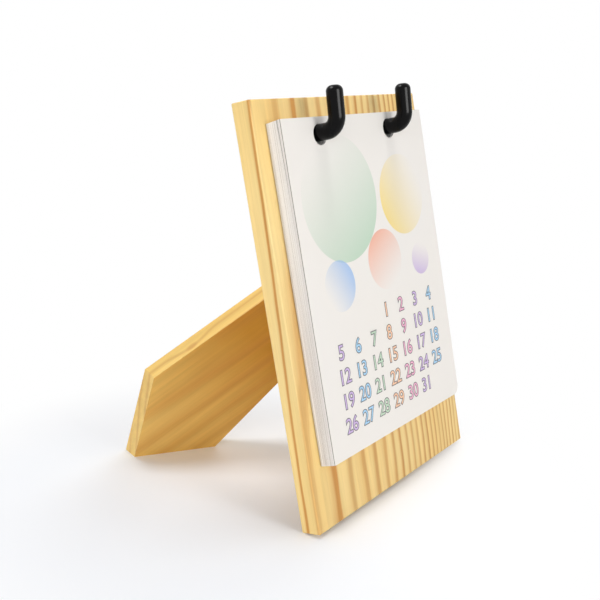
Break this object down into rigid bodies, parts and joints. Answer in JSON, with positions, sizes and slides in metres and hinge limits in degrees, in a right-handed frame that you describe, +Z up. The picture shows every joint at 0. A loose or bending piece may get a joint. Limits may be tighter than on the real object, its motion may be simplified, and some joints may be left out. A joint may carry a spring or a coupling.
{
  "type": "desk calendar",
  "caption": "Leaning wooden desk calendar: a thick pad of punched sheets hangs on L-shaped hooks, and a plank leg hinged behind the board props it up and folds flat.",
  "frame": {"origin": "on the floor, under the middle of the object's box", "axes": "+Z up, +Y to the back where the leg stands, +X to the right as seen from the front"},
  "size_m": [0.148, 0.1588, 0.2143],
  "materials": {
    "pine_board": "satin lacquered pine",
    "pine_leg": "satin lacquered pine",
    "black_coating": "glossy black coating on steel bar",
    "cover_paper": "coated printed paper",
    "sheet_paper": "uncoated white paper",
    "grey_card": "plain grey board",
    "hinge_steel": "zinc plated steel"
  },
  "bodies": {
    "stand": {"board": "pine_board", "left_hook": "black_coating", "right_hook": "black_coating", "hinge_board_leaf": "hinge_steel", "hinge_board_screws": "hinge_steel", "hinge_pin": "hinge_steel"},
    "leg": {"leg": "pine_leg", "hinge_leg_leaf": "hinge_steel", "hinge_leg_screws": "hinge_steel"},
    "cover": {"cover_sheet": "cover_paper"},
    "january": {"january_sheets": "sheet_paper"},
    "february": {"february_sheets": "sheet_paper"},
    "march": {"march_sheets": "sheet_paper"},
    "april": {"april_sheets": "sheet_paper"},
    "may": {"may_sheets": "sheet_paper"},
    "june": {"june_sheets": "sheet_paper"},
    "july": {"july_sheets": "sheet_paper"},
    "august": {"august_sheets": "sheet_paper"},
    "september": {"september_sheets": "sheet_paper"},
    "october": {"october_sheets": "sheet_paper"},
    "november": {"november_sheets": "sheet_paper"},
    "december": {"december_sheets": "sheet_paper"},
    "back_card": {"back_card": "grey_card"}
  },
  "joints": [
    {"name": "leg_fold", "type": "hinge", "parent": "stand", "child": "leg", "pos_m": [0.01514, -0.04104, 0.11652], "axis": [-0.6691, 0.1443, 0.729], "range_deg": [0, 46.5]},
    {"name": "cover_lift", "type": "hinge", "parent": "stand", "child": "cover", "pos_m": [0, -0.04687, 0.19912], "axis": [-1, 0, 0], "range_deg": [0, 25]},
    {"name": "january_lift", "type": "hinge", "parent": "stand", "child": "january", "pos_m": [0, -0.04599, 0.19885], "axis": [-1, 0, 0], "range_deg": [0, 23.21]},
    {"name": "february_lift", "type": "hinge", "parent": "stand", "child": "february", "pos_m": [0, -0.04544, 0.19868], "axis": [-1, 0, 0], "range_deg": [0, 21.43]},
    {"name": "march_lift", "type": "hinge", "parent": "stand", "child": "march", "pos_m": [0, -0.0449, 0.19851], "axis": [-1, 0, 0], "range_deg": [0, 19.64]},
    {"name": "april_lift", "type": "hinge", "parent": "stand", "child": "april", "pos_m": [0, -0.04423, 0.1983], "axis": [-1, 0, 0], "range_deg": [0, 17.86]},
    {"name": "may_lift", "type": "hinge", "parent": "stand", "child": "may", "pos_m": [0, -0.04368, 0.19813], "axis": [-1, 0, 0], "range_deg": [0, 16.07]},
    {"name": "june_lift", "type": "hinge", "parent": "stand", "child": "june", "pos_m": [0, -0.04313, 0.19796], "axis": [-1, 0, 0], "range_deg": [0, 14.29]},
    {"name": "july_lift", "type": "hinge", "parent": "stand", "child": "july", "pos_m": [0, -0.04247, 0.19776], "axis": [-1, 0, 0], "range_deg": [0, 12.5]},
    {"name": "august_lift", "type": "hinge", "parent": "stand", "child": "august", "pos_m": [0, -0.04192, 0.19759], "axis": [-1, 0, 0], "range_deg": [0, 10.71]},
    {"name": "september_lift", "type": "hinge", "parent": "stand", "child": "september", "pos_m": [0, -0.04137, 0.19742], "axis": [-1, 0, 0], "range_deg": [0, 8.93]},
    {"name": "october_lift", "type": "hinge", "parent": "stand", "child": "october", "pos_m": [0, -0.0407, 0.19721], "axis": [-1, 0, 0], "range_deg": [0, 7.14]},
    {"name": "november_lift", "type": "hinge", "parent": "stand", "child": "november", "pos_m": [0, -0.04016, 0.19704], "axis": [-1, 0, 0], "range_deg": [0, 5.36]},
    {"name": "december_lift", "type": "hinge", "parent": "stand", "child": "december", "pos_m": [0, -0.03949, 0.19683], "axis": [-1, 0, 0], "range_deg": [0, 3.57]},
    {"name": "back_card_lift", "type": "hinge", "parent": "stand", "child": "back_card", "pos_m": [0, -0.03884, 0.19663], "axis": [-1, 0, 0], "range_deg": [0, 1.79]}
  ],
  "couplings": [
    {"joint": "january_lift", "follows": "cover_lift", "ratio": 0.92857},
    {"joint": "february_lift", "follows": "cover_lift", "ratio": 0.85714},
    {"joint": "march_lift", "follows": "cover_lift", "ratio": 0.78571},
    {"joint": "april_lift", "follows": "cover_lift", "ratio": 0.71429},
    {"joint": "may_lift", "follows": "cover_lift", "ratio": 0.64286},
    {"joint": "june_lift", "follows": "cover_lift", "ratio": 0.57143},
    {"joint": "july_lift", "follows": "cover_lift", "ratio": 0.5},
    {"joint": "august_lift", "follows": "cover_lift", "ratio": 0.42857},
    {"joint": "september_lift", "follows": "cover_lift", "ratio": 0.35714},
    {"joint": "october_lift", "follows": "cover_lift", "ratio": 0.28571},
    {"joint": "november_lift", "follows": "cover_lift", "ratio": 0.21429},
    {"joint": "december_lift", "follows": "cover_lift", "ratio": 0.14286},
    {"joint": "back_card_lift", "follows": "cover_lift", "ratio": 0.071429}
  ]
}
